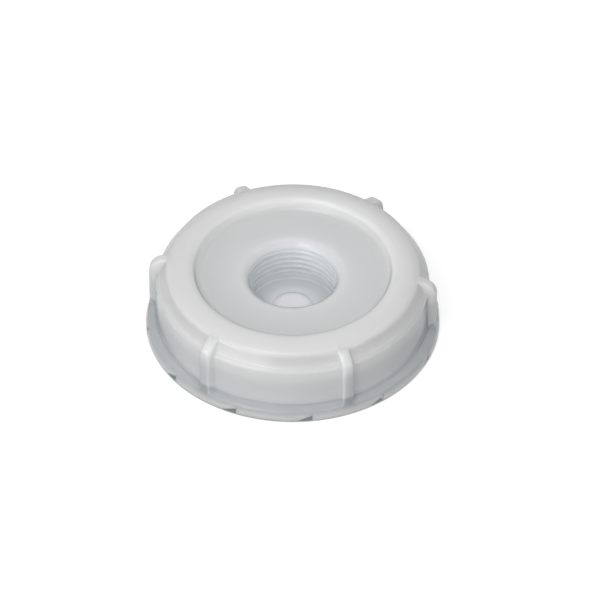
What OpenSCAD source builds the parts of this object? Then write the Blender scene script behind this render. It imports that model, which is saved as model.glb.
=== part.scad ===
// Reducing screw cap: a moulded polyethylene cap for a 70 mm container neck,
// with a pipe-thread socket in its middle that steps the opening down.
// It stands on its open end: z = 0 is the bottom of the flange, and Z is the axis.

/* [Skirt] */
// Diameter inside the skirt, at the root of the closure thread
root_d = 71.4; // [66:0.2:90]
// Wall of the skirt outside that root, at the foot of the skirt
skirt_wall = 3.5; // [2.6:0.1:4.5]
// How much thinner the drafted skirt is at the shoulder
skirt_draft = 0.4; // [0:0.1:1]
// Height of the whole cap
cap_h = 21.3; // [20.7:0.2:26.7]

/* [Shoulder] */
// Width of the sloping shoulder
shoulder_w = 3.4; // [2:0.1:4.5]
// Height of the sloping shoulder
shoulder_h = 5.4; // [3:0.1:6]
// Radius that rounds both of its edges
shoulder_edge_r = 1.6; // [0.5:0.1:2.2]

/* [Flange] */
// How far the flange at the open end stands out of the skirt
flange_out = 2.8; // [1.6:0.1:4]
// Height of the flange, at the skirt
flange_h = 3.9; // [3.4:0.1:4.6]
// How far the top of the flange falls from there to its edge
flange_fall = 0.9; // [0:0.1:1.2]
// How much further the flange stands out at its bottom than at its top
flange_draft = 0.6; // [0:0.1:1]
// Radius of the fillet where the skirt meets the flange
flange_fillet = 0.6; // [0.3:0.1:1.2]
// Width that the pilot bore at the mouth gains over the thread root, on the radius
pilot_gap = 0.6; // [0.5:0.05:1.2]
// Depth of that pilot bore
pilot_h = 2.6; // [2:0.1:2.8]

/* [Ratchet notches] */
// Number of notches in the bottom of the flange
notch_count = 12; // [4:1:24]
// Length of a notch around the rim
notch_l = 4.5; // [2:0.1:7]
// Depth of a notch at its steep end
notch_h = 2; // [0.8:0.1:2.4]
// How far a notch reaches in from the edge of the flange
notch_in = 3.8; // [2:0.1:4.6]
// Turn of the notches from the ribs, in degrees
notch_turn = 12; // [0:0.5:30]

/* [Wing ribs] */
// Number of ribs down the outside
rib_count = 6; // [3:1:12]
// Width of a rib
rib_w = 3.4; // [2:0.1:5]
// How far a rib stands out of the top of the skirt
rib_out = 2.4; // [1.8:0.1:3.2]
// Radius that rounds both edges of a rib
rib_edge_r = 0.9; // [0.2:0.1:0.9]
// Outer radius of the bend that takes a rib over the shoulder
rib_bend = 5; // [3.5:0.1:6]

/* [Ring and panel] */
// Width of the top of the ring, from the shoulder to the recess
ring_top_w = 6.8; // [5.6:0.1:12]
// How far the crowned top of the ring falls to each of its edges
ring_crown = 0.5; // [0.1:0.05:0.6]
// Depth of the recess down to the panel
recess_depth = 3.2; // [1.4:0.1:3.6]
// Width of the sloping side of the recess
recess_slope = 1.4; // [0.5:0.1:2.5]
// Radius at the upper and the lower edge of that side
recess_edge_r = 0.9; // [0.2:0.1:0.9]
// Wall of the ring, over the gasket
ring_wall = 3.2; // [2.2:0.1:3.6]
// Wall of the recessed panel
panel_wall = 2.2; // [1.6:0.1:3]

/* [Reducer socket] */
// Diameter of the pipe-thread bore, at the crests of its thread
bore_d = 24.4; // [16:0.1:32]
// Radius of the rounded mouth of the bore
mouth_r = 3.3; // [1:0.1:3.5]
// Depth of the socket under the panel
socket_depth = 13; // [9:0.1:13.5]
// Wall of the socket outside the bore
socket_wall = 3.1; // [2.4:0.1:5]
// Thickness of the web that closes the socket until it is cut out
web_wall = 1.4; // [0.8:0.1:1.4]
// Diameter of the round pad in the middle of the web, at its foot
pad_d = 13; // [6:0.1:15]
// Height of the pad
pad_h = 1.3; // [0.4:0.1:1.6]
// Depth of the relief that ends the thread at the foot of the bore
relief_depth = 0.5; // [0.3:0.1:0.8]

/* [Closure thread] */
// Height of the thread above its root
thread_depth = 1.7; // [1:0.1:2]
// Distance from one turn to the next
thread_pitch = 4.233; // [3.9:0.001:5]
// Number of turns
thread_turns = 1.5; // [1:0.25:1.75]
// Width of the crest
thread_crest = 0.9; // [0.5:0.1:1.1]
// Angle of the loaded flank, which faces the closed end
load_flank = 10; // [3:1:15]
// Angle of the sloping flank, which faces the open end
lead_flank = 45; // [30:1:45]

/* [Gasket] */
// Thickness of the gasket
gasket_t = 2.4; // [1:0.1:3]
// Width of the gasket seat
seat_w = 5.8; // [4:0.1:6.2]
// Gap between the gasket and each side of its seat
gasket_gap = 0.3; // [0.1:0.05:0.5]

/* [Hidden] */

$fn = 96;

root_r = root_d / 2;
skirt_foot_r = root_r + skirt_wall;
skirt_top_r = skirt_foot_r - skirt_draft;
flange_r = skirt_foot_r + flange_out;
pilot_r = root_r + pilot_gap;
rib_r = skirt_top_r + rib_out;
recess_r = skirt_top_r - shoulder_w - ring_top_w;
bore_r = bore_d / 2;
relief_r = bore_r + relief_depth;
socket_r = bore_r + socket_wall;
pad_r = pad_d / 2;
seat_r = root_r - seat_w;

ring_edge_z = cap_h - ring_crown;
panel_z = cap_h - recess_depth;
panel_under_z = panel_z - panel_wall;
seat_z = cap_h - ring_wall;
web_z = panel_z - socket_depth;
web_under_z = web_z - web_wall;

// Small radii and bevels that soften the edges of the moulding
ring_crown_r = 5;
rim_edge_r = 0.5;
lead_in = 0.3;
socket_edge_r = 0.8;
socket_root_r = 1.2;
seat_edge_r = 0.4;
pad_slope = 2;
pad_edge_r = 1.4;
// The relief at the foot of the bore ends above the pad, so nothing stands in the round wall over it
relief_h = pad_h + 0.2;

// Shares of the ring's width at which its level crown ends, counted from the recess
crown_inner_share = 0.25;
crown_outer_share = 0.7;

// How far a cut runs past the face that it opens
cut_past = 1;
// How far the thread is sunk into the wall that it grows from
thread_sink = 0.6;
// Share of its height by which each end of the thread sinks below the root
thread_end_sink = 0.1;
// Gap between the pilot bore and the first flank of the thread
thread_start_gap = 0.3;
// Segments in a quarter of a round
round_step_count = 6;
// Segments of the thread in one turn
thread_step_count = 72;
// Angle over which each end of the thread dies away
thread_fade_angle = 25;

// Points of an arc round c, from angle a to angle b
function arc(c, r, a, b) =
    let (steps = max(2, ceil(abs(b - a) / 90 * round_step_count)))
    [for (i = [0 : steps]) c + r * [cos(a + (b - a) * i / steps), sin(a + (b - a) * i / steps)]];

// Points that round the corner p between its neighbours with an arc that touches both sides
function corner(before, p, after, r) =
    let (u = (before - p) / norm(before - p),
         v = (after - p) / norm(after - p),
         half = acos(u * v) / 2,
         c = p + (u + v) / norm(u + v) * r / sin(half),
         foot = p + u * r / tan(half) - c,
         a = atan2(foot[1], foot[0]),
         turn = cross(u, v) > 0 ? 2 * half - 180 : 180 - 2 * half)
    arc(c, r, a, a + turn);

// Outline through corners that are given as [x, y, radius], each one rounded by its own radius
function rounded(corners) =
    let (last = len(corners) - 1, at = function (i) [corners[i][0], corners[i][1]])
    [for (i = [0 : last])
        let (before = at(i == 0 ? last : i - 1), after = at(i == last ? 0 : i + 1))
        each corners[i][2] > 0 ? corner(before, at(i), after, corners[i][2]) : [at(i)]];

// The solid outside of the cap, from the axis to the flange
module outer_form() {
    rotate_extrude()
        polygon(rounded([
            [0, 0, 0],
            [flange_r, 0, lead_in],
            [flange_r - flange_draft, flange_h - flange_fall, rim_edge_r],
            [skirt_foot_r, flange_h, flange_fillet],
            [skirt_top_r, ring_edge_z - shoulder_h, shoulder_edge_r],
            [skirt_top_r - shoulder_w, ring_edge_z, shoulder_edge_r],
            [recess_r + ring_top_w * crown_outer_share, cap_h, ring_crown_r],
            [recess_r + ring_top_w * crown_inner_share, cap_h, ring_crown_r],
            [recess_r, ring_edge_z, recess_edge_r],
            [recess_r - recess_slope, panel_z, recess_edge_r],
            [bore_r, panel_z, mouth_r],
            [bore_r, web_z + relief_h + relief_depth, 0],
            [relief_r, web_z + relief_h, 0],
            [relief_r, web_z, 0],
            [pad_r, web_z, 0],
            [pad_r - pad_slope, web_z + pad_h, pad_edge_r],
            [0, web_z + pad_h, 0]
        ]));
}

// The hollow under the panel, round the socket: pilot bore, thread root and gasket seat
module hollow() {
    rotate_extrude()
        polygon(rounded([
            [0, -cut_past, 0],
            [pilot_r + lead_in, -cut_past, 0],
            [pilot_r + lead_in, 0, 0],
            [pilot_r, lead_in, 0],
            [pilot_r, pilot_h, 0],
            [root_r, pilot_h + pilot_gap, 0],
            [root_r, seat_z, gasket_gap],
            [seat_r, seat_z, gasket_gap],
            [seat_r, panel_under_z, seat_edge_r],
            [socket_r, panel_under_z, socket_root_r],
            [socket_r, web_under_z, socket_edge_r],
            [0, web_under_z, 0]
        ]));
}

// Section of a rib with rounded edges: reach is the distance from its origin to its outer face
module rib_section(reach) {
    half_w = rib_w / 2;
    translate([0, -half_w])
        square([reach - rib_edge_r, rib_w]);
    translate([0, rib_edge_r - half_w])
        square([reach, rib_w - 2 * rib_edge_r]);
    for (side = [-1, 1])
        translate([reach - rib_edge_r, side * (half_w - rib_edge_r)])
        circle(rib_edge_r);
}

// One wing rib: up the skirt from inside the flange, round a bend, and level into the ring
module rib() {
    in_wall_r = root_r + skirt_wall / 2;
    foot_z = flange_h / 2;
    bend_r = rib_r - rib_bend;
    bend_z = ring_edge_z - rib_bend;
    ring_r = skirt_top_r - shoulder_w;
    translate([in_wall_r, 0, foot_z])
        linear_extrude(height = bend_z - foot_z)
        rib_section(rib_r - in_wall_r);
    translate([bend_r, 0, bend_z])
        rotate([90, 0, 0])
        rotate_extrude(angle = 90)
        rib_section(rib_bend);
    translate([bend_r, 0, bend_z])
        rotate([0, -90, 0])
        linear_extrude(height = max(bend_r - ring_r, 0) + rib_w / 2)
        rib_section(rib_bend);
}

// One saw-tooth notch: its roof climbs along the rim to an upright end
module notch() {
    translate([flange_r - notch_in, 0, 0])
        rotate([90, 0, 90])
        linear_extrude(height = notch_in + cut_past)
        polygon([
            [-notch_l / 2, -cut_past],
            [notch_l / 2, -cut_past],
            [notch_l / 2, notch_h],
            [-notch_l / 2, 0]
        ]);
}

// Section of the thread at a height h over its root, as [radius, z] round its own middle
function thread_section(h) =
    let (sunk = h + thread_sink, half = thread_crest / 2)
    [
        [root_r + thread_sink, -half - sunk * tan(lead_flank)],
        [root_r - h, -half],
        [root_r - h, half],
        [root_r + thread_sink, half + sunk * tan(load_flank)]
    ];

// Share of its full height that the thread has at an angle along it, a little below its root at each end
function thread_rise(angle) =
    let (share = min(1, angle / thread_fade_angle, (360 * thread_turns - angle) / thread_fade_angle))
    share * (1 + thread_end_sink) - thread_end_sink;

// Buttress thread that grips the container neck, right-handed
module closure_thread() {
    steps = round(thread_step_count * thread_turns);
    first_z = pilot_h + pilot_gap + thread_start_gap + thread_crest / 2 + thread_depth * tan(lead_flank);
    points = [
        for (i = [0 : steps])
            let (angle = 360 * thread_turns * i / steps,
                 section = thread_section(thread_depth * thread_rise(angle)))
            for (p = section)
                [p[0] * cos(angle), p[0] * sin(angle), first_z + thread_pitch * angle / 360 + p[1]]
    ];
    corners = 4;
    sides = [
        for (i = [0 : steps - 1], k = [0 : corners - 1])
            let (a = i * corners + k, b = i * corners + (k + 1) % corners)
            each [[a, a + corners, b], [b, a + corners, b + corners]]
    ];
    start_cap = [[for (k = [0 : corners - 1]) k]];
    end_cap = [[for (k = [corners - 1 : -1 : 0]) steps * corners + k]];
    polyhedron(points = points, faces = concat(sides, start_cap, end_cap));
}

module cap() {
    color([0.86, 0.88, 0.89]) {
        difference() {
            union() {
                outer_form();
                for (i = [0 : rib_count - 1])
                    rotate(360 * i / rib_count) rib();
            }
            hollow();
            for (i = [0 : notch_count - 1])
                rotate(notch_turn + 360 * i / notch_count) notch();
        }
        closure_thread();
    }
}

// Flat sealing ring, which lies against the underside of the ring
module gasket() {
    color([0.95, 0.95, 0.94])
        translate([0, 0, seat_z - gasket_t])
        rotate_extrude()
        translate([seat_r + gasket_gap, 0])
        square([seat_w - 2 * gasket_gap, gasket_t]);
}

cap();
gasket();
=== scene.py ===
"""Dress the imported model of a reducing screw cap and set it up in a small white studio.

The moulded cap and its foam gasket are lathed from their profiles, in millimetres, round the cap's
axis. The wing ribs, the ratchet notches and both threads are pushed out of the lathed surface.
"""

import logging
import math
from collections.abc import Callable, Iterable, Sequence
from dataclasses import dataclass, field

import bpy
import numpy as np
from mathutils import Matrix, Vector

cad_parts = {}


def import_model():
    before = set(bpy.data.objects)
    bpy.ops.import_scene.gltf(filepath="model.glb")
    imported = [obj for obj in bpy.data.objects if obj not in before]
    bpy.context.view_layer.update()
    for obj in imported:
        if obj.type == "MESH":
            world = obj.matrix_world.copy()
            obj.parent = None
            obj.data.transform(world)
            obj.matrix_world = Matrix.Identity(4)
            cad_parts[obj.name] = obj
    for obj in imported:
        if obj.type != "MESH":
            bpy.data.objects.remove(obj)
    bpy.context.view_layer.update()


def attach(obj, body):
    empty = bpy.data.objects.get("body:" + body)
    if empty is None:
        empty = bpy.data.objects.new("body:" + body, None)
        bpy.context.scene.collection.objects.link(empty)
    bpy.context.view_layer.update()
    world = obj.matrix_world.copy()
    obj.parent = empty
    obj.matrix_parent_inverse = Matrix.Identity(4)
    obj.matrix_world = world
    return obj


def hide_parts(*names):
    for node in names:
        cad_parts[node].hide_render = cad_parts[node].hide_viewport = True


LOG = logging.getLogger("reducing_screw_cap")

MM = 0.001
TURN = 2.0 * math.pi
FINEST_TURN = math.radians(2.0)
# Point attributes that carry painted light and shade, and a painted cool tint, into the plastic's colour.
PAINTED_LIGHT_ATTRIBUTE = "painted_light"
COOL_SHADE_ATTRIBUTE = "through"

Point = tuple[float, float]
Corner = tuple[float, float, float]
Colour = tuple[float, float, float]


@dataclass(frozen=True)
class PaintedShading:
    """Painted light and shade of a ring of the surface, which stand in for light through the translucent
    plastic and for shade.

    Attributes:
        painted_light: painted light and shade, from 0, darkest, where it stands for an open hollow behind
            the wall and for shade, to 1, lightest, where it stands for dense plastic and for foam behind it.
        through: painted cool tint, standing for the share of the light that would reach the ring through the
            plastic in shaded places.
    """

    painted_light: float
    through: float


@dataclass(frozen=True)
class PaintedShadingTable:
    """How the painted light and shade change along one stretch of the cap's section.

    Attributes:
        places: heights or radii at which the depth is known, in rising order.
        painted_light: the painted light and shade at each of them.
        through: the painted cool tint at each of them.
    """

    places: tuple[float, ...]
    painted_light: tuple[float, ...]
    through: tuple[float, ...]

    def at(self, place: float) -> PaintedShading:
        """Return the painted light and shade at a height or a radius."""
        return PaintedShading(
            float(np.interp(place, self.places, self.painted_light)),
            float(np.interp(place, self.places, self.through)),
        )


def arc_points(centre: Point, radius: float, start: float, end: float, step: float) -> list[Point]:
    """Return points along an arc.

    Args:
        centre: centre of the arc.
        radius: its radius.
        start: angle of the first point, in radians.
        end: angle of the last point, in radians.
        step: longest distance between two points along the arc, where that turns more than FINEST_TURN.

    Returns:
        The points, with both ends.
    """
    count = max(3, math.ceil(abs(end - start) / max(step / radius, FINEST_TURN)))
    angles = [start + (end - start) * i / count for i in range(count + 1)]
    return [(centre[0] + radius * math.cos(a), centre[1] + radius * math.sin(a)) for a in angles]


def round_corner(before: Point, corner: Corner, after: Point, step: float) -> list[Point]:
    """Return the points that round one corner of an outline with an arc that touches both sides.

    Args:
        before: the corner before it.
        corner: the corner, as x, y and radius. A radius of zero keeps it sharp.
        after: the corner after it.
        step: longest distance between two points along the arc.

    Returns:
        The points of the arc, or the corner itself.
    """
    x, y, radius = corner
    if radius <= 0.0:
        return [(x, y)]
    here = Vector((x, y))
    back = (Vector(before) - here).normalized()
    ahead = (Vector(after) - here).normalized()
    half = back.angle(ahead) / 2.0
    centre = here + (back + ahead).normalized() * (radius / math.sin(half))
    foot = here + back * (radius / math.tan(half)) - centre
    start = math.atan2(foot.y, foot.x)
    turn = math.pi - 2.0 * half
    side = -1.0 if back.x * ahead.y - back.y * ahead.x > 0.0 else 1.0
    return arc_points((centre.x, centre.y), radius, start, start + side * turn, step)


def outline(corners: Sequence[Corner], step: float, arc_step: float) -> list[Point]:
    """Return an open outline through rounded corners, with no stretch longer than a step.

    Args:
        corners: x, y and radius of each corner. The radii of the two ends are ignored.
        step: longest distance between two points along a straight stretch.
        arc_step: longest distance between two points along an arc.

    Returns:
        The points of the outline.
    """
    points: list[Point] = [corners[0][:2]]
    for before, corner, after in zip(corners, corners[1:], corners[2:]):
        points += round_corner(before[:2], corner, after[:2], arc_step)
    points.append(corners[-1][:2])
    dense = [points[0]]
    for start, end in zip(points, points[1:]):
        count = max(1, math.ceil(math.dist(start, end) / step))
        dense += [
            (start[0] + (end[0] - start[0]) * i / count, start[1] + (end[1] - start[1]) * i / count)
            for i in range(1, count + 1)
        ]
    return dense


def spread(points: Sequence[Point], shares: np.ndarray) -> np.ndarray:
    """Return the points that lie at given shares of an outline's length.

    Args:
        points: the outline.
        shares: share of the length of each wanted point, from 0 to 1.

    Returns:
        An array with one row of x and y per share.
    """
    line = np.array(points)
    steps = np.hypot(*np.diff(line, axis=0).T)
    along = np.concatenate([[0.0], np.cumsum(steps)]) / steps.sum()
    return np.column_stack([np.interp(shares, along, line[:, k]) for k in range(2)])


def shares_of(points: np.ndarray) -> np.ndarray:
    """Return each point's share of the length of the outline that the points form."""
    steps = np.hypot(*np.diff(points, axis=0).T)
    return np.concatenate([[0.0], np.cumsum(steps)]) / steps.sum()


@dataclass(frozen=True)
class CapSizes:
    """Driving sizes of the cap, in millimetres and degrees, as in the part's own source."""

    root_r: float = 35.7
    skirt_foot_r: float = 39.2
    skirt_top_r: float = 38.8
    flange_r: float = 42.0
    flange_draft: float = 0.6
    flange_h: float = 3.9
    flange_fall: float = 0.9
    flange_fillet: float = 0.6
    rim_edge_r: float = 0.5
    lead_in: float = 0.3
    pilot_r: float = 36.3
    pilot_h: float = 2.6
    cap_h: float = 21.3
    ring_edge_z: float = 20.8
    crown_outer: Point = (35.8, 20.35)
    crown_inner: Point = (28.5, 21.1)
    crown_outer_arc: float = 14.0
    crown_inner_arc: float = 2.0
    crown_r: float = 30.2
    crown_seam: float = 0.2
    crown_fall_start: float = 0.25
    shoulder_w: float = 3.4
    shoulder_h: float = 5.4
    shoulder_foot_r: float = 1.1
    shoulder_edge_r: float = 1.6
    recess_floor_r: float = 27.2
    recess_edge_r: float = 2.0
    panel_z: float = 18.1
    panel_under_z: float = 15.9
    seat_z: float = 18.1
    seat_r: float = 29.9
    seat_edge_r: float = 0.4
    gasket_gap: float = 0.3
    gasket_t: float = 2.4
    gasket_clear: float = 0.2
    bore_r: float = 12.2
    mouth_r: float = 3.3
    mouth_rim: float = 0.6
    relief_r: float = 12.7
    relief_h: float = 1.5
    plain_foot_h: float = 0.4
    socket_r: float = 15.3
    socket_edge_r: float = 0.8
    socket_root_r: float = 1.2
    web_z: float = 5.1
    web_under_z: float = 3.7
    pad_r: float = 6.5
    pad_rim: float = 1.0
    pad_h: float = 1.3
    pad_slope: float = 2.0
    pad_foot_r: float = 2.8
    pad_edge_r: float = 2.8


@dataclass(frozen=True)
class WingRibs:
    """The ribs down the outside of the skirt, in millimetres.

    Attributes:
        count: number of ribs.
        width: width of a rib.
        reach_r: radius of their outer faces.
        bend: radius of the arc that takes a rib over the shoulder.
        foot_r: radius where a rib leaves the side of the flange.
        top_drop: how far its top stays under the outer edge of the ring's crown.
        merge_in: how far inside the shoulder it ends.
        edge_r: radius of its two edges.
        side_fillet: radius where its sides meet the skirt.
        steep_gap: width of the steep part of a side.
        columns_r: radius at which widths are turned into angles.
        edge_steps: columns on each edge.
        fillet_steps: columns on each side fillet.
        side_glow: painted light added to a rib's sides, standing for light that passes through the rib.
        crown_shade: painted shade on its crown, taken off that light.
    """

    count: int = 6
    width: float = 3.4
    reach_r: float = 41.2
    bend: float = 5.0
    foot_r: float = 2.0
    top_drop: float = 0.35
    merge_in: float = 0.7
    edge_r: float = 0.9
    side_fillet: float = 0.8
    steep_gap: float = 0.04
    columns_r: float = 40.0
    edge_steps: int = 6
    fillet_steps: int = 5
    side_glow: float = 0.12
    crown_shade: float = 0.2

    def glow(self, share: np.ndarray) -> np.ndarray:
        """Return the painted light added to a rib, less the painted shade on its crown, at given shares of
        its height.
        """
        side = np.clip(1.0 - np.abs(share - 0.5) / 0.5, 0.0, 1.0)
        return self.side_glow * np.minimum(1.0, 3.0 * side) - self.crown_shade * (share > 0.98)

    def section(self, height: float) -> list[Point]:
        """Return one half of a rib's section, from its crown to its foot.

        Args:
            height: height of the rib over the skirt.

        Returns:
            Pairs of the distance from the rib's middle and the share of its height there.
        """
        flat = self.width / 2.0 - self.edge_r
        half = [(0.0, 1.0), (flat / 2.0, 1.0)]
        for i in range(self.edge_steps + 1):
            a = math.radians(88.0) * i / self.edge_steps
            half.append((flat + self.edge_r * math.sin(a), 1.0 - self.edge_r * (1.0 - math.cos(a)) / height))
        for i in range(self.fillet_steps + 1):
            a = math.pi / 2.0 * i / self.fillet_steps
            away = self.width / 2.0 + self.steep_gap + self.side_fillet * (1.0 - math.cos(a))
            half.append((away, self.side_fillet * (1.0 - math.sin(a)) / height))
        return half


@dataclass(frozen=True)
class RatchetNotches:
    """The saw-tooth notches in the bottom of the flange."""

    count: int = 12
    length: float = 4.5
    depth: float = 2.0
    reach_in: float = 3.8
    turn_deg: float = 12.0
    steps: int = 5
    squeeze_h: float = 2.35


@dataclass(frozen=True)
class PipeThread:
    """The parallel pipe thread in the socket, cut outwards from its crests."""

    pitch: float = 1.814
    depth: float = 1.05
    crest_flat: float = 0.3
    root_flat: float = 0.16
    top_z: float = 17.4
    start_z: float = 6.7
    start_deg: float = 250.0
    foot_z: float = 5.6
    fade_h: float = 0.6
    mouth_fade_h: float = 3.0

    def groove(self, height: np.ndarray, angle: np.ndarray) -> np.ndarray:
        """Return how deep the thread is cut at a height and an angle, as a share of its depth."""
        turns = (height - self.start_z) / self.pitch - (angle - math.radians(self.start_deg)) / TURN
        away = np.abs((turns % 1.0) - 0.5) * self.pitch
        flank = (self.pitch - self.crest_flat - self.root_flat) / 2.0
        share = np.clip((self.root_flat / 2.0 + flank - away) / flank, 0.0, 1.0)
        fade = np.clip((height - self.foot_z) / self.fade_h, 0.0, 1.0)
        fade *= np.clip((self.top_z - height) / self.mouth_fade_h, 0.0, 1.0)
        return share * share * (3.0 - 2.0 * share) * fade


@dataclass(frozen=True)
class ClosureThread:
    """The buttress thread inside the skirt that grips the container neck."""

    pitch: float = 4.233
    depth: float = 1.7
    turns: float = 1.5
    crest: float = 0.9
    first_z: float = 5.65
    load_deg: float = 10.0
    lead_deg: float = 45.0
    fade_deg: float = 25.0

    def ridge(self, height: np.ndarray, angle: np.ndarray) -> np.ndarray:
        """Return how far the thread stands out of its root at a height and an angle."""
        out = np.zeros(np.broadcast(height, angle).shape)
        for lap in range(math.ceil(self.turns) + 1):
            along = angle + TURN * lap
            inside = np.minimum(along, TURN * self.turns - along)
            rise = np.clip(inside / math.radians(self.fade_deg), 0.0, 1.0) * self.depth
            off = height - (self.first_z + self.pitch * along / TURN)
            under = (-off - self.crest / 2.0) / math.tan(math.radians(self.lead_deg))
            over = (off - self.crest / 2.0) / math.tan(math.radians(self.load_deg))
            out = np.maximum(out, np.clip(rise - np.maximum(np.maximum(under, over), 0.0), 0.0, None))
        return out


class LatheMesh:
    """A closed mesh that is laid down ring by ring round the cap's axis."""

    def __init__(self) -> None:
        """Start with no vertex and no face."""
        self.points: list[np.ndarray] = []
        self.painted_light: list[np.ndarray] = []
        self.through: list[np.ndarray] = []
        self.faces: list[tuple[int, ...]] = []
        self.size = 0

    def ring(
        self,
        radius: np.ndarray,
        height: np.ndarray,
        angles: np.ndarray,
        depth: PaintedShading,
        shift: np.ndarray | float = 0.0,
    ) -> np.ndarray:
        """Add one ring of vertices.

        Args:
            radius: radius of each vertex.
            height: height of each vertex.
            angles: angle of each vertex, in radians.
            depth: their painted light and shade, and painted cool tint.
            shift: painted light added to each vertex; where it is below zero, painted shade.

        Returns:
            The numbers of the new vertices.
        """
        self.points.append(np.column_stack([radius * np.cos(angles), radius * np.sin(angles), height]))
        self.painted_light.append(np.clip(np.full(len(angles), depth.painted_light) + shift, 0.0, 1.0))
        self.through.append(np.full(len(angles), depth.through))
        numbers = np.arange(self.size, self.size + len(angles))
        self.size += len(angles)
        return numbers

    def sweep(
        self,
        last: np.ndarray,
        points: Iterable[Point],
        angles: np.ndarray,
        shading_at: Callable[[float], PaintedShading],
    ) -> np.ndarray:
        """Add a round ring at each point of an outline and join each to the one before it.

        Args:
            last: vertices of the ring before the first point.
            points: radius and height of each new ring.
            angles: angles of the columns.
            shading_at: gives the painted light and shade of a ring of a given radius.

        Returns:
            The vertices of the last ring.
        """
        wide = np.ones(len(angles))
        for radius, height in points:
            ring = self.ring(wide * radius, wide * height, angles, shading_at(radius))
            self.band(last, ring)
            last = ring
        return last

    def band(self, lower: np.ndarray, upper: np.ndarray) -> None:
        """Join two rings that have the same columns with a band of four-sided faces."""
        count = len(lower)
        for i in range(count):
            j = (i + 1) % count
            self.faces.append((int(lower[i]), int(lower[j]), int(upper[j]), int(upper[i])))

    def zip_band(
        self, lower: np.ndarray, low_angles: np.ndarray, upper: np.ndarray, up_angles: np.ndarray
    ) -> None:
        """Join two rings that have different columns with a band of triangles.

        Args:
            lower: vertices of the first ring.
            low_angles: their angles, rising from 0 to less than a turn.
            upper: vertices of the second ring.
            up_angles: their angles, in the same way.
        """
        low = np.append(low_angles, low_angles[0] + TURN)
        up = np.append(up_angles, up_angles[0] + TURN)
        i, j = 0, 0
        while i < len(lower) or j < len(upper):
            a, b = int(lower[i % len(lower)]), int(upper[j % len(upper)])
            low_next = low[i + 1] if i < len(lower) else math.inf
            up_next = up[j + 1] if j < len(upper) else math.inf
            if low_next <= up_next:
                i += 1
                self.faces.append((a, int(lower[i % len(lower)]), b))
            else:
                j += 1
                self.faces.append((a, int(upper[j % len(upper)]), b))

    def fan(self, ring: np.ndarray, height: float, depth: PaintedShading, rising: bool) -> None:
        """Close a ring with triangles to one vertex on the axis.

        Args:
            ring: vertices of the ring.
            height: height of the vertex on the axis.
            depth: the painted light and shade of the vertex on the axis.
            rising: True where the ring is the lower side of the faces.
        """
        centre = int(self.ring(np.zeros(1), np.full(1, height), np.zeros(1), depth)[0])
        for i in range(len(ring)):
            a, b = int(ring[i]), int(ring[(i + 1) % len(ring)])
            self.faces.append((a, b, centre) if rising else (b, a, centre))

    def build(self, name: str, sharp_deg: float) -> bpy.types.Object:
        """Turn the rings into an object in metres.

        Args:
            name: name of the object.
            sharp_deg: faces that meet at a larger angle keep a sharp edge.

        Returns:
            The new object, with its painted light and shade and its painted cool tint as two attributes of
            its points.
        """
        mesh = bpy.data.meshes.new(name)
        mesh.from_pydata((np.concatenate(self.points) * MM).tolist(), [], self.faces)
        mesh.update()
        for key, values in ((PAINTED_LIGHT_ATTRIBUTE, self.painted_light), (COOL_SHADE_ATTRIBUTE, self.through)):
            layer = mesh.attributes.new(key, "FLOAT", "POINT")
            layer.data.foreach_set("value", np.concatenate(values).astype(np.float32))
        mesh.polygons.foreach_set("use_smooth", [True] * len(mesh.polygons))
        mesh.set_sharp_from_angle(angle=math.radians(sharp_deg))
        made = bpy.data.objects.new(name, mesh)
        bpy.context.scene.collection.objects.link(made)
        return made


@dataclass(frozen=True)
class CapPaintedShading:
    """Painted light and shade, and a painted cool tint, along each stretch of the cap's section."""

    # Each table gives places, then painted light and shade, then painted cool tint. They paint the skirt
    # darker towards its foot and the flange darkest, a light strip at the rim's bottom edge, the recess wall
    # lighter than the panel, the bore and web darker at their corners, and the pad lightest.
    outside: PaintedShadingTable = PaintedShadingTable(
        (0.4, 1.0, 2.2, 3.0, 3.9, 4.6, 7.0, 9.0, 11.0, 13.0, 15.4, 18.0, 20.3, 21.3),
        (1.00, 0.58, 0.16, 0.03, 0.20, 0.60, 0.60, 0.61, 0.68, 0.88, 0.98, 1.00, 0.91, 0.83),
        (0.2, 0.3, 0.7, 1.0, 0.8, 0.55, 0.45, 0.4, 0.35, 0.3, 0.25, 0.12, 0.05, 0.0),
    )
    top: PaintedShadingTable = PaintedShadingTable(
        (12.2, 13.6, 15.0, 18.0, 22.0, 25.5, 26.8, 27.6, 28.2, 29.2, 30.2),
        (0.75, 0.60, 0.67, 0.57, 0.51, 0.47, 0.67, 0.93, 0.96, 0.72, 0.79),
        (0.9, 0.6, 0.5, 0.55, 0.5, 0.2, 0.1, 0.05, 0.0, 0.0, 0.0),
    )
    bore: PaintedShadingTable = PaintedShadingTable(
        (5.1, 5.6, 6.6, 8.0, 14.0, 16.0, 17.5),
        (0.73, 0.87, 0.96, 1.00, 1.00, 0.93, 0.81),
        (1.0, 1.0, 1.0, 1.0, 1.0, 1.0, 0.9),
    )
    web: PaintedShadingTable = PaintedShadingTable(
        (4.4, 5.4, 6.6, 7.5, 9.0, 11.0, 12.7),
        (1.00, 1.00, 0.96, 0.58, 0.33, 0.24, 0.22),
        (0.2, 0.4, 0.9, 1.0, 1.0, 1.0, 1.0),
    )
    underside: PaintedShading = PaintedShading(0.6, 0.6)
    pad: PaintedShading = PaintedShading(1.0, 0.2)


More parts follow.
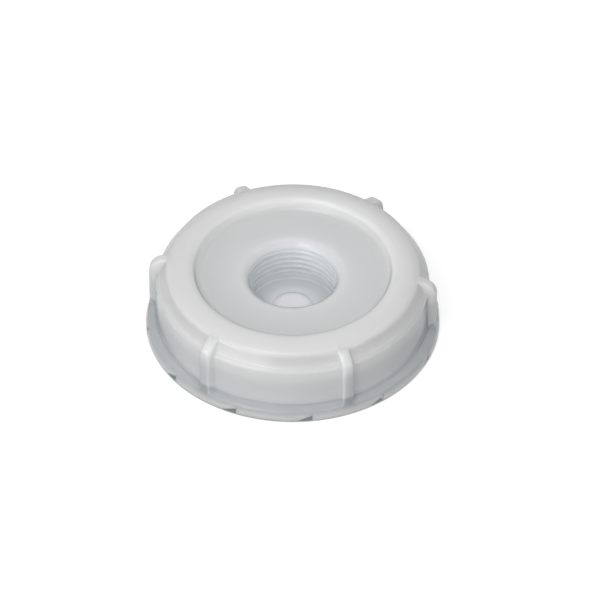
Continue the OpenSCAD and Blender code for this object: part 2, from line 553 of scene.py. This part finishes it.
@dataclass
class MouldedCap:
    """The cap: flange, skirt, ribs, shoulder, ring, panel, socket and web in one moulding."""

    sizes: CapSizes = field(default_factory=CapSizes)
    ribs: WingRibs = field(default_factory=WingRibs)
    notches: RatchetNotches = field(default_factory=RatchetNotches)
    pipe: PipeThread = field(default_factory=PipeThread)
    closure: ClosureThread = field(default_factory=ClosureThread)
    painted_shading: CapPaintedShading = field(default_factory=CapPaintedShading)
    inner_columns: int = 192
    under_columns: int = 96
    plain_step_deg: float = 1.6
    sharp_deg: float = 65.0
    bead_w: float = 0.22
    bead_h: float = 0.09
    bead_r: float = 0.12
    skirt_bead_place: float = 1.3
    shoulder_bead_place: float = 1.35

    def outer_columns(self) -> tuple[np.ndarray, np.ndarray, np.ndarray]:
        """Return the columns of the outside, packed closely round the ribs and the notches.

        Returns:
            Their angles in radians, each one's share of a rib's height and of a notch's depth.
        """
        ribs, notches = self.ribs, self.notches
        marks: dict[float, tuple[float, float]] = {}
        rib_h = ribs.reach_r - self.sizes.skirt_top_r
        for k in range(ribs.count):
            middle = 360.0 * k / ribs.count
            for away, share in ribs.section(rib_h):
                for side in (-1.0, 1.0):
                    angle = (middle + side * math.degrees(away / ribs.columns_r)) % 360.0
                    marks[round(angle, 4)] = (share, 0.0)
        half = math.degrees(notches.length / 2.0 / self.sizes.flange_r)
        for k in range(notches.count):
            middle = notches.turn_deg + 360.0 * k / notches.count
            for i in range(notches.steps + 1):
                share = i / notches.steps
                marks[round((middle - half + 2.0 * half * share) % 360.0, 4)] = (0.0, share)
            marks[round((middle + half + 0.05) % 360.0, 4)] = (0.0, 0.0)
        taken = sorted(marks)
        for start, end in zip(taken, taken[1:] + [taken[0] + 360.0]):
            count = math.ceil((end - start) / self.plain_step_deg)
            for i in range(1, count):
                angle = round((start + (end - start) * i / count) % 360.0, 4)
                marks.setdefault(angle, (0.0, 0.0))
        angles = sorted(marks)
        shares = np.array([marks[a] for a in angles])
        return np.radians(angles), shares[:, 0], shares[:, 1]

    def rib_rows(self, plain: np.ndarray, foot: Point) -> np.ndarray:
        """Return the outline of a rib's crown, row by row, from its foot on the flange into the ring.

        Args:
            plain: the rows of the outside where there is no rib.
            foot: where the crown starts on the side of the flange.

        Returns:
            The crown's rows. Those on top of the ring are the plain ones, because the rib ends there.
        """
        ribs, sizes = self.ribs, self.sizes
        bend_z = sizes.crown_outer[1] - ribs.top_drop - ribs.bend
        climb = [(*foot, 0.0), (ribs.reach_r, sizes.flange_h, ribs.foot_r), (ribs.reach_r, bend_z, 0.0)]
        line = outline(climb, 0.5, 0.1)
        line += arc_points((ribs.reach_r - ribs.bend, bend_z), ribs.bend, 0.0, math.pi / 2.0, 0.4)[1:]
        merged = int(np.argmax(plain[:, 0] < sizes.skirt_top_r - sizes.shoulder_w - ribs.merge_in))
        rows = plain.copy()
        line.append((float(plain[merged, 0]), float(plain[merged, 1])))
        rows[: merged + 1] = spread(line, shares_of(plain[: merged + 1]))
        return rows

    def bead(self, start: Point, end: Point, place: float) -> list[Corner]:
        """Return the corners of a fine mould line that stands out of a straight stretch.

        Args:
            start: where the stretch starts.
            end: where it ends.
            place: distance of the line from the start.

        Returns:
            Three corners, each with its radius.
        """
        along = (Vector(end) - Vector(start)).normalized()
        out = Vector((along.y, -along.x))
        spots = [
            Vector(start) + along * (place + step * self.bead_w) + out * height
            for step, height in ((-1.0, 0.0), (0.0, self.bead_h), (1.0, 0.0))
        ]
        return [(spot.x, spot.y, self.bead_r) for spot in spots]

    def lay_outside(self, lathe: LatheMesh) -> tuple[np.ndarray, np.ndarray, np.ndarray]:
        """Lay the rings from the bottom of the flange up to the top of the raised ring.

        Args:
            lathe: the mesh that takes them.

        Returns:
            The angles of the columns, and the vertices of the first and the last ring.
        """
        s, notches = self.sizes, self.notches
        angles, rib_share, notch_share = self.outer_columns()
        notch_r = s.flange_r - notches.reach_in
        flange_top_r = s.flange_r - s.flange_draft
        flange_edge_z = s.flange_h - s.flange_fall
        foot: Point = (flange_top_r + s.flange_draft * 0.2, flange_edge_z * 0.8)
        ring_top: Point = (s.crown_r + s.crown_seam, s.cap_h)
        rim = outline([(notch_r, 0.0, 0.0), (s.flange_r, 0.0, s.lead_in), (*foot, 0.0)], 0.9, 0.12)
        shoulder_foot: Point = (s.skirt_top_r, s.ring_edge_z - s.shoulder_h)
        wall_side = outline(
            [
                (*foot, 0.0),
                (flange_top_r, flange_edge_z, s.rim_edge_r),
                (s.skirt_foot_r, s.flange_h, s.flange_fillet),
                *self.bead((s.skirt_foot_r, s.flange_h), shoulder_foot, self.skirt_bead_place),
                (*shoulder_foot, s.shoulder_foot_r),
                *self.bead(shoulder_foot, s.crown_outer, self.shoulder_bead_place),
                (*s.crown_outer, s.shoulder_edge_r),
                ((s.crown_r + s.crown_outer[0]) / 2.0, s.cap_h, s.crown_outer_arc),
                (*ring_top, 0.0),
            ],
            0.6,
            0.14,
        )
        plain = np.array(wall_side)
        crown = self.rib_rows(plain, foot)
        wide = np.ones(len(angles))
        first = lathe.ring(wide * (notch_r - 0.05), wide * 0.0, angles, self.painted_shading.underside)
        last = first
        # Each ring of the outside takes the painted light and shade, and painted cool tint, of its height.
        for radius, height in rim:
            lift = notches.depth * notch_share * max(0.0, 1.0 - height / notches.squeeze_h)
            ring = lathe.ring(wide * radius, height + lift, angles, self.painted_shading.outside.at(height))
            lathe.band(last, ring)
            last = ring
        for (radius, height), (crown_r, crown_z) in zip(plain[1:], crown[1:]):
            stands_out = min(1.0, math.dist((radius, height), (crown_r, crown_z)))
            # Over the ribs, painted light is added to their sides and painted shade to their crowns.
            ring = lathe.ring(
                radius + (crown_r - radius) * rib_share,
                height + (crown_z - height) * rib_share,
                angles,
                self.painted_shading.outside.at(height),
                self.ribs.glow(rib_share) * stands_out,
            )
            lathe.band(last, ring)
            last = ring
        return angles, first, last

    def lay_top(self, lathe: LatheMesh, angles: np.ndarray) -> tuple[np.ndarray, np.ndarray]:
        """Lay the rings from the top of the raised ring over the panel and down the socket.

        Args:
            lathe: the mesh that takes them.
            angles: angles of the columns.

        Returns:
            The vertices of the first and the last ring.
        """
        s = self.sizes
        wide = np.ones(len(angles))
        slope = outline(
            [
                (s.crown_r, s.cap_h, 0.0),
                (s.crown_r - s.crown_fall_start, s.cap_h, s.crown_inner_arc),
                (*s.crown_inner, s.recess_edge_r),
                (s.recess_floor_r, s.panel_z, s.recess_edge_r),
                (s.bore_r + s.mouth_r + s.mouth_rim, s.panel_z, 0.0),
            ],
            1.6,
            0.1,
        )
        mouth = outline(
            [
                (s.bore_r + s.mouth_r + s.mouth_rim, s.panel_z, 0.0),
                (s.bore_r, s.panel_z, s.mouth_r),
                (s.bore_r, s.web_z + s.relief_h + s.relief_r - s.bore_r, 0.0),
                (s.relief_r, s.web_z + s.relief_h, 0.0),
                (s.relief_r, s.web_z, 0.0),
                (s.pad_r + s.pad_rim, s.web_z, 0.0),
            ],
            0.12,
            0.12,
        )
        web = outline(
            [
                (s.pad_r + s.pad_rim, s.web_z, 0.0),
                (s.pad_r, s.web_z, s.pad_foot_r),
                (s.pad_r - s.pad_slope, s.web_z + s.pad_h, s.pad_edge_r),
                (0.8, s.web_z + s.pad_h, 0.0),
            ],
            0.8,
            0.1,
        )
        start_r, start_z = slope[0]
        first = lathe.ring(wide * start_r, wide * start_z, angles, self.painted_shading.top.at(start_r))
        last = lathe.sweep(first, slope[1:], angles, self.painted_shading.top.at)
        for radius, height in self.skip_flat(mouth[1:]):
            cut = self.pipe.groove(np.full(len(angles), height), angles) * self.pipe.depth
            inside = height > s.web_z + s.plain_foot_h
            ring_r = np.maximum(radius, s.bore_r + cut) if inside else wide * radius
            ring = lathe.ring(ring_r, wide * height, angles, self.socket_shading(radius, height))
            lathe.band(last, ring)
            last = ring
        last = lathe.sweep(last, web[1:], angles, self.painted_shading.web.at)
        lathe.fan(last, s.web_z + s.pad_h, self.painted_shading.pad, True)
        return first, last

    def skip_flat(self, points: Iterable[Point]) -> list[Point]:
        """Return the outline with fewer points on the flat web, where nothing is cut."""
        s = self.sizes
        kept: list[Point] = []
        for point in points:
            flat = point[1] <= s.web_z + 1e-6 and point[0] > s.pad_r + s.pad_rim + 0.01
            if flat and kept and math.dist(kept[-1], point) < 1.0:
                continue
            kept.append(point)
        return kept

    def socket_shading(self, radius: float, height: float) -> PaintedShading:
        """Return the painted light and shade of the mouth, the bore and the web."""
        s, painted_shading = self.sizes, self.painted_shading
        if height <= s.web_z + 1e-6:
            return painted_shading.web.at(radius)
        if height >= s.panel_z - s.mouth_r:
            return painted_shading.top.at(radius)
        return painted_shading.bore.at(height)

    def lay_underside(self, lathe: LatheMesh, angles: np.ndarray) -> tuple[np.ndarray, np.ndarray]:
        """Lay the rings from the underside of the web out and down to the pilot bore.

        Args:
            lathe: the mesh that takes them.
            angles: angles of the columns.

        Returns:
            The vertices of the first and the last ring.
        """
        s = self.sizes
        wide = np.ones(len(angles))
        under = outline(
            [
                (1.0, s.web_under_z, 0.0),
                (s.socket_r, s.web_under_z, s.socket_edge_r),
                (s.socket_r, s.panel_under_z, s.socket_root_r),
                (s.seat_r, s.panel_under_z, s.seat_edge_r),
                (s.seat_r, s.seat_z, s.gasket_gap),
                (s.root_r, s.seat_z, s.gasket_gap),
                (s.root_r, s.seat_z - s.gasket_t - s.gasket_clear, 0.0),
            ],
            2.0,
            0.2,
        )
        skirt = outline(
            [
                (s.root_r, s.seat_z - s.gasket_t - s.gasket_clear, 0.0),
                (s.root_r, s.pilot_h + s.pilot_r - s.root_r, 0.0),
                (s.pilot_r, s.pilot_h, 0.0),
                (s.pilot_r, s.lead_in, 0.0),
                (s.pilot_r + s.lead_in, 0.0, 0.0),
                (s.flange_r - self.notches.reach_in - 0.6, 0.0, 0.0),
            ],
            0.25,
            0.2,
        )
        # The whole underside takes one even painted light and shade and painted cool tint.
        underside_shading = self.painted_shading.underside
        first = lathe.ring(wide * under[0][0], wide * under[0][1], angles, underside_shading)
        lathe.fan(first, s.web_under_z, underside_shading, False)
        last = lathe.sweep(first, under[1:], angles, lambda radius: underside_shading)
        for radius, height in skirt[1:]:
            stand = self.closure.ridge(np.full(len(angles), height), angles)
            ring = lathe.ring(radius - stand, wide * height, angles, underside_shading)
            lathe.band(last, ring)
            last = ring
        return first, last

    def build(self) -> bpy.types.Object:
        """Build the whole moulding as one closed mesh and return it."""
        lathe = LatheMesh()
        inner = TURN * np.arange(self.inner_columns) / self.inner_columns
        under = TURN * np.arange(self.under_columns) / self.under_columns
        outer, rim_ring, top_ring = self.lay_outside(lathe)
        slope_ring, _ = self.lay_top(lathe, inner)
        _, pilot_ring = self.lay_underside(lathe, under)
        lathe.zip_band(top_ring, outer, slope_ring, inner)
        lathe.zip_band(pilot_ring, under, rim_ring, outer)
        made = lathe.build("moulded_cap", self.sharp_deg)
        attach(made, "root")
        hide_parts("cap")
        made.data.materials.append(NaturalPolyethylene().material())
        return made


@dataclass
class FoamGasket:
    """The flat foam ring under the raised ring of the cap."""

    sizes: CapSizes = field(default_factory=CapSizes)
    edge_r: float = 0.3
    columns: int = 192
    depth: PaintedShading = PaintedShading(1.0, 0.0)

    def build(self) -> bpy.types.Object:
        """Build the ring as one closed mesh and return it."""
        s = self.sizes
        inner, outer = s.seat_r + s.gasket_gap, s.root_r - s.gasket_gap
        top, bottom = s.seat_z - 0.001, s.seat_z - s.gasket_t
        middle = (inner + outer) / 2.0
        section = outline(
            [
                (middle, top, 0.0),
                (inner, top, self.edge_r),
                (inner, bottom, self.edge_r),
                (outer, bottom, self.edge_r),
                (outer, top, self.edge_r),
                (middle, top, 0.0),
            ],
            0.8,
            0.1,
        )
        lathe = LatheMesh()
        angles = TURN * np.arange(self.columns) / self.columns
        wide = np.ones(self.columns)
        rings = [lathe.ring(wide * r, wide * z, angles, self.depth) for r, z in section[:-1]]
        for lower, upper in zip(rings, rings[1:] + rings[:1]):
            lathe.band(lower, upper)
        made = lathe.build("foam_gasket", 40.0)
        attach(made, "root")
        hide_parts("gasket")
        made.data.materials.append(WhiteFoam().material())
        return made


class ShaderGroup:
    """A group of shader nodes that several materials can share."""

    def __init__(self, name: str) -> None:
        """Start an empty group.

        Args:
            name: name of the group.
        """
        self.tree = bpy.data.node_groups.new(name, "ShaderNodeTree")
        self.source = self.tree.nodes.new("NodeGroupInput")
        self.sink = self.tree.nodes.new("NodeGroupOutput")

    def socket(self, name: str, kind: str, default: float | None = None, out: bool = False) -> None:
        """Add a socket to the group.

        Args:
            name: name of the socket.
            kind: Float, Color or Vector.
            default: value of a Float input that nothing is linked to.
            out: True for an output.
        """
        made = self.tree.interface.new_socket(
            name, in_out="OUTPUT" if out else "INPUT", socket_type=f"NodeSocket{kind}"
        )
        if default is not None:
            made.default_value = default

    def node(self, kind: str, **settings: object) -> bpy.types.Node:
        """Add a node to the group.

        Args:
            kind: type of the node, without its ShaderNode prefix.
            settings: properties of the node.

        Returns:
            The new node.
        """
        return add_node(self.tree, kind, **settings)

    def link(self, start: bpy.types.NodeSocket, end: bpy.types.NodeSocket) -> None:
        """Link an output to an input inside the group."""
        self.tree.links.new(start, end)


def add_node(tree: bpy.types.NodeTree, kind: str, **settings: object) -> bpy.types.Node:
    """Add a shader node to a tree.

    Args:
        tree: the tree that takes it.
        kind: type of the node, without its ShaderNode prefix.
        settings: properties of the node.

    Returns:
        The new node.
    """
    made = tree.nodes.new(f"ShaderNode{kind}")
    for key, value in settings.items():
        setattr(made, key, value)
    return made


def moulded_surface_group() -> bpy.types.NodeTree:
    """Return a group that puts out the slightly uneven normal of a moulded surface."""
    group = ShaderGroup("moulded_surface")
    group.socket("Scale", "Float", 900.0)
    group.socket("Wave", "Float", 0.1)
    group.socket("Grain", "Float", 0.05)
    group.socket("Normal", "Vector", out=True)
    place = group.node("TexCoord")
    wave = group.node("TexNoise")
    wave.inputs["Scale"].default_value = 160.0
    wave.inputs["Detail"].default_value = 1.0
    grain = group.node("TexNoise")
    grain.inputs["Detail"].default_value = 3.0
    group.link(place.outputs["Object"], wave.inputs["Vector"])
    group.link(place.outputs["Object"], grain.inputs["Vector"])
    group.link(group.source.outputs["Scale"], grain.inputs["Scale"])
    broad = group.node("Bump")
    broad.inputs["Distance"].default_value = 0.0006
    group.link(wave.outputs["Fac"], broad.inputs["Height"])
    group.link(group.source.outputs["Wave"], broad.inputs["Strength"])
    fine = group.node("Bump")
    fine.inputs["Distance"].default_value = 0.00008
    group.link(grain.outputs["Fac"], fine.inputs["Height"])
    group.link(group.source.outputs["Grain"], fine.inputs["Strength"])
    group.link(broad.outputs["Normal"], fine.inputs["Normal"])
    group.link(fine.outputs["Normal"], group.sink.inputs["Normal"])
    return group.tree


def painted_shading_group() -> bpy.types.NodeTree:
    """Return a group that paints light and shade, and a cool tint in shaded places, into the plastic's
    colour.
    """
    group = ShaderGroup("painted_shading_tint")
    group.socket("ShadedGrey", "Color")
    group.socket("LitGrey", "Color")
    group.socket("CoolShadeTint", "Color")
    group.socket("Color", "Color", out=True)
    painted_light = group.node("Attribute", attribute_name=PAINTED_LIGHT_ATTRIBUTE)
    through = group.node("Attribute", attribute_name=COOL_SHADE_ATTRIBUTE)
    # Mix from the painted shade grey to the painted lit grey by the painted light, then multiply in the
    # painted cool tint.
    tint = group.node("Mix", data_type="RGBA")
    group.link(painted_light.outputs["Fac"], tint.inputs["Factor"])
    group.link(group.source.outputs["ShadedGrey"], tint.inputs[6])
    group.link(group.source.outputs["LitGrey"], tint.inputs[7])
    cooled = group.node("Mix", data_type="RGBA", blend_type="MULTIPLY")
    group.link(through.outputs["Fac"], cooled.inputs["Factor"])
    group.link(tint.outputs[2], cooled.inputs[6])
    group.link(group.source.outputs["CoolShadeTint"], cooled.inputs[7])
    group.link(cooled.outputs[2], group.sink.inputs["Color"])
    return group.tree


def grey(level: float) -> tuple[float, float, float, float]:
    """Return a grey colour of a given level."""
    return level, level, level, 1.0


@dataclass(frozen=True)
class NaturalPolyethylene:
    """Satin, slightly translucent plastic without pigment."""

    # The first two greys are the painted shade grey and the painted lit grey of the plastic; through is the
    # painted cool tint of shaded places.
    open: float = 0.44
    lit_grey: float = 0.96
    through: Colour = (0.95, 0.995, 1.02)
    roughness: float = 0.2
    ior: float = 1.5
    scatter: float = 1.0
    scatter_m: float = 0.008
    grain_scale: float = 900.0
    wave: float = 0.1
    grain: float = 0.05
    # Painted shade that darkens surfaces seen edge-on, towards the silhouettes, over a span of facing.
    edge_shade: Colour = (0.54, 0.57, 0.60)
    edge_shade_span: tuple[float, float] = (0.42, 1.0)

    def material(self) -> bpy.types.Material:
        """Build the material and return it."""
        made = bpy.data.materials.new("natural_polyethylene")
        made.use_nodes = True
        tree = made.node_tree
        shader = tree.nodes["Principled BSDF"]
        tint = add_node(tree, "Group", node_tree=painted_shading_group())
        tint.inputs["ShadedGrey"].default_value = grey(self.open)
        tint.inputs["LitGrey"].default_value = grey(self.lit_grey)
        tint.inputs["CoolShadeTint"].default_value = (*self.through, 1.0)
        skin = add_node(tree, "Group", node_tree=moulded_surface_group())
        skin.inputs["Scale"].default_value = self.grain_scale
        skin.inputs["Wave"].default_value = self.wave
        skin.inputs["Grain"].default_value = self.grain
        # Painted shade where the surface is seen edge-on.
        grazing = add_node(tree, "LayerWeight")
        edge = add_node(tree, "MapRange", interpolation_type="SMOOTHSTEP")
        edge.inputs["From Min"].default_value, edge.inputs["From Max"].default_value = self.edge_shade_span
        seen = add_node(tree, "Mix", data_type="RGBA", blend_type="MULTIPLY")
        seen.inputs[7].default_value = (*self.edge_shade, 1.0)
        tree.links.new(grazing.outputs["Facing"], edge.inputs["Value"])
        tree.links.new(edge.outputs["Result"], seen.inputs["Factor"])
        tree.links.new(tint.outputs["Color"], seen.inputs[6])
        tree.links.new(seen.outputs[2], shader.inputs["Base Color"])
        tree.links.new(skin.outputs["Normal"], shader.inputs["Normal"])
        shader.inputs["Roughness"].default_value = self.roughness
        shader.inputs["IOR"].default_value = self.ior
        shader.inputs["Subsurface Weight"].default_value = self.scatter
        shader.inputs["Subsurface Radius"].default_value = (1.0, 1.0, 1.0)
        shader.inputs["Subsurface Scale"].default_value = self.scatter_m
        return made


@dataclass(frozen=True)
class WhiteFoam:
    """Soft white closed-cell foam."""

    colour: Colour = (0.90, 0.90, 0.89)
    roughness: float = 0.85
    cell_scale: float = 1500.0
    cell_depth_m: float = 0.0002

    def material(self) -> bpy.types.Material:
        """Build the material and return it."""
        made = bpy.data.materials.new("white_foam")
        made.use_nodes = True
        tree = made.node_tree
        shader = tree.nodes["Principled BSDF"]
        shader.inputs["Base Color"].default_value = (*self.colour, 1.0)
        shader.inputs["Roughness"].default_value = self.roughness
        place = add_node(tree, "TexCoord")
        cells = add_node(tree, "TexVoronoi")
        cells.inputs["Scale"].default_value = self.cell_scale
        relief = add_node(tree, "Bump")
        relief.inputs["Distance"].default_value = self.cell_depth_m
        relief.inputs["Strength"].default_value = 0.5
        tree.links.new(place.outputs["Object"], cells.inputs["Vector"])
        tree.links.new(cells.outputs["Distance"], relief.inputs["Height"])
        tree.links.new(relief.outputs["Normal"], shader.inputs["Normal"])
        return made


@dataclass(frozen=True)
class Lamp:
    """A softbox that points at the cap.

    Attributes:
        name: name of the light.
        azimuth: 0 is in front of the cap and 90 to its right, in degrees.
        elevation: height above the horizon, in degrees.
        distance: distance from the cap, in metres.
        width: its width, in metres.
        height: its height, in metres.
        energy: its power, in watts.
        mirrored: False where the gloss of the cap doesn't show it.
    """

    name: str
    azimuth: float
    elevation: float
    distance: float
    width: float
    height: float
    energy: float
    mirrored: bool = True

    def build(self, target: Vector) -> bpy.types.Object:
        """Build the light and aim it.

        Args:
            target: the point that it shines at.

        Returns:
            The new light.
        """
        data = bpy.data.lights.new(self.name, "AREA")
        data.shape = "RECTANGLE"
        data.size, data.size_y = self.width, self.height
        data.energy = self.energy
        made = bpy.data.objects.new(self.name, data)
        made.visible_glossy = self.mirrored
        bpy.context.scene.collection.objects.link(made)
        aim(made, target, self.azimuth, self.elevation, self.distance)
        return made


def aim(thing: bpy.types.Object, target: Vector, azimuth: float, elevation: float, distance: float) -> None:
    """Place a light or a camera round a point and turn it to that point.

    Args:
        thing: the light or the camera.
        target: the point.
        azimuth: 0 is in front of the cap and 90 to its right, in degrees.
        elevation: height above the horizon, in degrees.
        distance: distance from the point, in metres.
    """
    a, e = math.radians(azimuth), math.radians(elevation)
    back = Vector((math.sin(a) * math.cos(e), -math.cos(a) * math.cos(e), math.sin(e)))
    thing.location = target + back * distance
    thing.rotation_euler = back.to_track_quat("Z", "Y").to_euler()


@dataclass
class Studio:
    """The camera, the lights, the white floor and the white surroundings."""

    target: Vector = field(default_factory=lambda: Vector((0.0, 0.0, 0.010)))
    azimuth: float = 7.5
    elevation: float = 42.54
    distance: float = 1.6
    lens: float = 337.0
    sensor: float = 36.0
    shift: Point = (0.01197, -0.00933)
    floor_size: float = 6.0
    floor_drop: float = 0.0002
    floor_tint: float = 0.2
    floor_seen_tint: float = 0.4
    floor_glow: float = 0.74
    footprint: tuple[float, float] = (0.0414, 0.0423)
    inside_glow: float = 0.3
    # Painted shadow on the floor under the cap, which shows through the notches.
    painted_shadow_tint: Colour = (0.20, 0.235, 0.24)
    ambient: float = 0.34
    lamps: tuple[Lamp, ...] = (
        Lamp("left_softbox", -28.0, 55.0, 1.0, 0.4, 0.4, 2.2),
        Lamp("right_softbox", 10.0, 55.0, 1.0, 0.5, 0.5, 3.3, mirrored=False),
        Lamp("left_strip", -50.0, 18.0, 1.0, 0.5, 0.15, 0.9),
        Lamp("front_strip", -25.0, 18.0, 1.0, 0.5, 0.15, 0.8),
        Lamp("right_strip", 45.0, 18.0, 1.0, 0.5, 0.15, 0.2),
    )

    def build_camera(self) -> None:
        """Build the camera at the photograph's angle and make it the scene's own."""
        data = bpy.data.cameras.new("photo_camera")
        data.lens = self.lens
        data.sensor_width = self.sensor
        data.shift_x, data.shift_y = self.shift
        data.clip_start, data.clip_end = 0.01, 20.0
        made = bpy.data.objects.new("photo_camera", data)
        bpy.context.scene.collection.objects.link(made)
        aim(made, self.target, self.azimuth, self.elevation, self.distance)
        bpy.context.scene.camera = made

    def seen_directly(self, tree: bpy.types.NodeTree) -> bpy.types.NodeSocket:
        """Return a mask that is 1 where the camera, a reflection or a clear body looks.

        Args:
            tree: the node tree that takes the nodes.

        Returns:
            The output socket of the mask.
        """
        path = add_node(tree, "LightPath")
        total = path.outputs["Is Camera Ray"]
        for name in ("Is Glossy Ray", "Is Transmission Ray"):
            either = add_node(tree, "Math", operation="MAXIMUM")
            tree.links.new(total, either.inputs[0])
            tree.links.new(path.outputs[name], either.inputs[1])
            total = either.outputs["Value"]
        return total

    def join(
        self,
        tree: bpy.types.NodeTree,
        first: bpy.types.NodeSocket,
        second: bpy.types.NodeSocket,
        mask: bpy.types.NodeSocket,
    ) -> bpy.types.NodeSocket:
        """Mix two shaders by a mask.

        Args:
            tree: the node tree that takes the node.
            first: the shader where the mask is 0.
            second: the shader where it is 1.
            mask: the mask.

        Returns:
            The output socket of the mix.
        """
        mixed = add_node(tree, "MixShader")
        tree.links.new(mask, mixed.inputs["Fac"])
        tree.links.new(first, mixed.inputs[1])
        tree.links.new(second, mixed.inputs[2])
        return mixed.outputs[0]

    def build_world(self) -> None:
        """Build surroundings that look white and light the cap softly."""
        world = bpy.data.worlds.new("studio_white")
        world.use_nodes = True
        tree = world.node_tree
        soft = tree.nodes["Background"]
        soft.inputs["Color"].default_value = grey(1.0)
        soft.inputs["Strength"].default_value = self.ambient
        white = add_node(tree, "Background")
        white.inputs["Color"].default_value = grey(1.0)
        whole = self.join(tree, soft.outputs[0], white.outputs[0], self.seen_directly(tree))
        tree.links.new(whole, tree.nodes["World Output"].inputs["Surface"])
        bpy.context.scene.world = world

    def build_floor(self) -> None:
        """Build the pale floor that takes the cap's soft shadow."""
        half = self.floor_size / 2.0
        mesh = bpy.data.meshes.new("studio_floor")
        square = [(-half, -half, 0.0), (half, -half, 0.0), (half, half, 0.0), (-half, half, 0.0)]
        mesh.from_pydata(square, [], [(0, 1, 2, 3)])
        floor = bpy.data.objects.new("studio_floor", mesh)
        floor.location.z = -self.floor_drop
        bpy.context.scene.collection.objects.link(floor)
        mesh.materials.append(self.floor_material())

    def floor_material(self) -> bpy.types.Material:
        """Return the floor's material, which looks white and keeps the shadow.

        Light that reaches the cap from the floor comes from a darker floor than the one that shows, and
        from a soft glow under the cap that stands for the light inside it. From beneath, the floor is
        clear.
        """
        made = bpy.data.materials.new("white_floor")
        made.use_nodes = True
        tree = made.node_tree
        tree.nodes.remove(tree.nodes["Principled BSDF"])
        place = add_node(tree, "TexCoord")
        away = add_node(tree, "VectorMath", operation="LENGTH")
        tree.links.new(place.outputs["Object"], away.inputs[0])
        bounce, show = self.floor_bounce(tree, away), self.floor_show(tree, away)
        lighting = self.join(tree, bounce, show, self.seen_directly(tree))
        side = add_node(tree, "NewGeometry")
        clear = add_node(tree, "BsdfTransparent")
        whole = self.join(tree, lighting, clear.outputs[0], side.outputs["Backfacing"])
        tree.links.new(whole, tree.nodes["Material Output"].inputs["Surface"])
        return made

    def floor_bounce(self, tree: bpy.types.NodeTree, away: bpy.types.Node) -> bpy.types.NodeSocket:
        """Return the shader by which the floor lights the cap.

        Args:
            tree: the node tree that takes the nodes.
            away: the node that gives the distance from the cap's axis.

        Returns:
            The output socket of the shader.
        """
        lit = add_node(tree, "BsdfDiffuse")
        lit.inputs["Color"].default_value = grey(self.floor_tint)
        inside = add_node(tree, "MapRange")
        inside.inputs["From Min"].default_value, inside.inputs["From Max"].default_value = self.footprint
        inside.inputs["To Min"].default_value, inside.inputs["To Max"].default_value = self.inside_glow, 0.0
        bounce = add_node(tree, "Emission")
        filled = add_node(tree, "AddShader")
        tree.links.new(away.outputs["Value"], inside.inputs["Value"])
        tree.links.new(inside.outputs["Result"], bounce.inputs["Strength"])
        tree.links.new(lit.outputs[0], filled.inputs[0])
        tree.links.new(bounce.outputs[0], filled.inputs[1])
        return filled.outputs[0]

    def floor_show(self, tree: bpy.types.NodeTree, away: bpy.types.Node) -> bpy.types.NodeSocket:
        """Return the shader that shows the floor white, with a painted shadow under the cap where it is seen
        through the notches.

        Args:
            tree: the node tree that takes the nodes.
            away: the node that gives the distance from the cap's axis.

        Returns:
            The output socket of the shader.
        """
        # Under the cap the floor takes the painted shadow tint and no diffuse light.
        clear = add_node(tree, "MapRange", interpolation_type="SMOOTHSTEP")
        clear.inputs["From Min"].default_value, clear.inputs["From Max"].default_value = self.footprint
        seen = add_node(tree, "Mix", data_type="RGBA")
        seen.inputs[6].default_value = grey(0.0)
        seen.inputs[7].default_value = grey(self.floor_seen_tint)
        shown = add_node(tree, "Mix", data_type="RGBA")
        shown.inputs[6].default_value = (*self.painted_shadow_tint, 1.0)
        shown.inputs[7].default_value = grey(self.floor_glow)
        shade = add_node(tree, "BsdfDiffuse")
        glow = add_node(tree, "Emission")
        both = add_node(tree, "AddShader")
        tree.links.new(away.outputs["Value"], clear.inputs["Value"])
        for tint, shader in ((seen, shade), (shown, glow)):
            tree.links.new(clear.outputs["Result"], tint.inputs["Factor"])
            tree.links.new(tint.outputs[2], shader.inputs["Color"])
        tree.links.new(shade.outputs[0], both.inputs[0])
        tree.links.new(glow.outputs[0], both.inputs[1])
        return both.outputs[0]

    def build(self) -> None:
        """Build the whole studio."""
        self.build_camera()
        self.build_world()
        self.build_floor()
        for lamp in self.lamps:
            lamp.build(self.target)
        bpy.context.scene.view_settings.view_transform = "Standard"


def main() -> None:
    """Load the model, dress it, light it and log the gasket's face count."""
    logging.basicConfig(level=logging.INFO, format="%(name)s: %(message)s")
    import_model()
    Studio().build()
    cap = MouldedCap().build()
    gasket = FoamGasket().build()
    LOG.info("gasket: %d faces", len(gasket.data.polygons))


if __name__ == "__main__":
    main()
